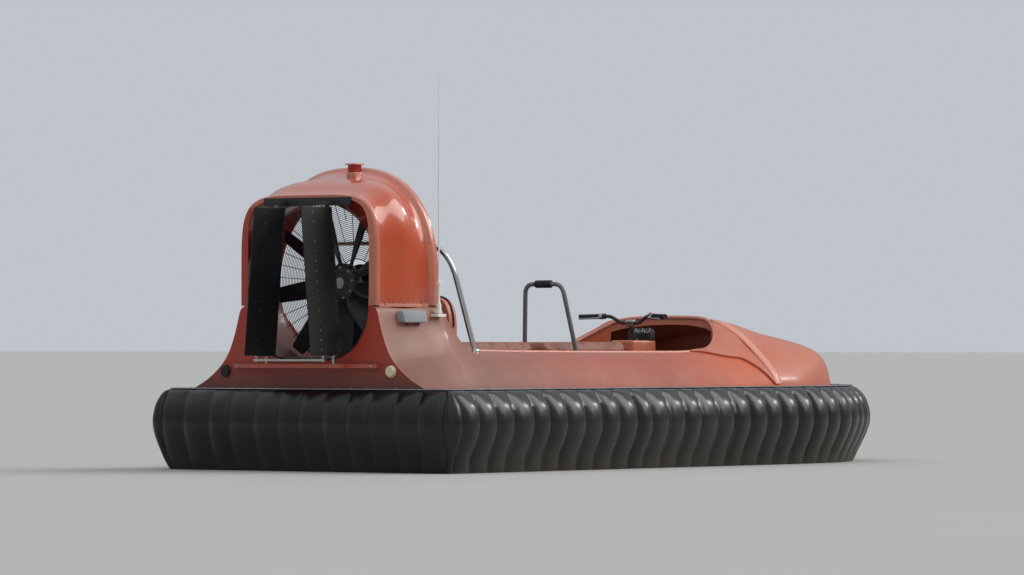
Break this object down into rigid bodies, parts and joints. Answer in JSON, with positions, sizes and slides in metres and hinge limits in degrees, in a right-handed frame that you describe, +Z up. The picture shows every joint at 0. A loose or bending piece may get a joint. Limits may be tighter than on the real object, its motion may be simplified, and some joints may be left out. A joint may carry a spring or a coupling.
{
  "type": "light hovercraft",
  "caption": "Open light hovercraft with an orange moulded hull, a ducted stern fan, twin rudders, straddle seats and a black segmented skirt.",
  "frame": {"origin": "on the ground under the centre of the craft's bounding box", "axes": "+Y ahead towards the bow, +X to starboard, +Z up"},
  "size_m": [2.45, 5.6, 2.42],
  "materials": {
    "gelcoat_orange": "gloss gelcoat, weathered",
    "hull_grey": "satin gelcoat",
    "skirt_fabric": "coated fabric, scuffed and muddy",
    "runner_rubber": "matte",
    "rudder_black": "satin",
    "fan_plastic": "satin",
    "stainless": "polished tube",
    "coated_steel": "dark grey powder coat",
    "engine_metal": "cast, oily",
    "seat_vinyl": "coated cloth",
    "white_plastic": "gloss",
    "grey_plastic": "matte",
    "lamp_red": "clear moulding",
    "cap_cream": "gloss",
    "rubber_black": "matte"
  },
  "bodies": {
    "craft": {"duct_cowl": "gelcoat_orange", "stern_pedestal": "gelcoat_orange", "side_deck_port": "gelcoat_orange", "side_deck_starboard": "gelcoat_orange", "foredeck": "gelcoat_orange", "hull_bottom": "hull_grey", "hull_runner_port": "runner_rubber", "hull_runner_starboard": "runner_rubber", "skirt_stern": "skirt_fabric", "skirt_port": "skirt_fabric", "skirt_starboard": "skirt_fabric", "skirt_bow": "skirt_fabric", "duct_splitter": "hull_grey", "inlet_guard": "coated_steel", "fan_frame": "coated_steel", "belt_cover": "fan_plastic", "engine": "engine_metal", "exhaust_silencer": "coated_steel", "rudder_shelf": "gelcoat_orange", "rudder_beam": "coated_steel", "seat_pod": "gelcoat_orange", "seat_cushion_rear": "seat_vinyl", "seat_cushion_front": "seat_vinyl", "seat_back": "gelcoat_orange", "console": "gelcoat_orange", "instrument_pod": "fan_plastic", "grab_hoop": "coated_steel", "grab_hoop_grip": "rubber_black", "guard_hoop": "stainless", "control_box": "grey_plastic", "antenna_bracket": "white_plastic", "antenna_whip": "white_plastic", "stern_cap_port": "rubber_black", "stern_cap_starboard": "cap_cream", "cowl_lamp": "lamp_red"},
    "fan": {"fan": "fan_plastic"},
    "handlebar": {"handlebar": "coated_steel", "grip_port": "rubber_black", "grip_starboard": "rubber_black"},
    "rudder_port": {"rudder_port": "rudder_black"},
    "rudder_starboard": {"rudder_starboard": "rudder_black"},
    "tie_bar": {"rudder_tie_bar": "stainless"}
  },
  "joints": [
    {"name": "fan_spin", "type": "hinge", "parent": "craft", "child": "fan", "pos_m": [0, -2.155, 1.15], "axis": [0, 1, 0], "continuous": true},
    {"name": "handlebar_steer", "type": "hinge", "parent": "craft", "child": "handlebar", "pos_m": [0, 0.85, 0.8], "axis": [0, -0.3, 0.9539], "range_deg": [-35, 35]},
    {"name": "rudder_port_turn", "type": "hinge", "parent": "craft", "child": "rudder_port", "pos_m": [-0.2215, -2.588, 1.15], "axis": [0.0854, 0, 0.9963], "range_deg": [-30, 30]},
    {"name": "rudder_starboard_turn", "type": "hinge", "parent": "craft", "child": "rudder_starboard", "pos_m": [0.2215, -2.588, 1.15], "axis": [-0.0854, 0, 0.9963], "range_deg": [-30, 30]},
    {"name": "tie_bar_pivot", "type": "hinge", "parent": "rudder_port", "child": "tie_bar", "pos_m": [-0.26196, -2.683, 0.678], "axis": [0.0854, 0, 0.9963], "range_deg": [-30, 30]}
  ],
  "couplings": [
    {"joint": "rudder_port_turn", "follows": "handlebar_steer", "ratio": -0.85714},
    {"joint": "rudder_starboard_turn", "follows": "handlebar_steer", "ratio": -0.85714},
    {"joint": "tie_bar_pivot", "follows": "handlebar_steer", "ratio": 0.85714}
  ]
}
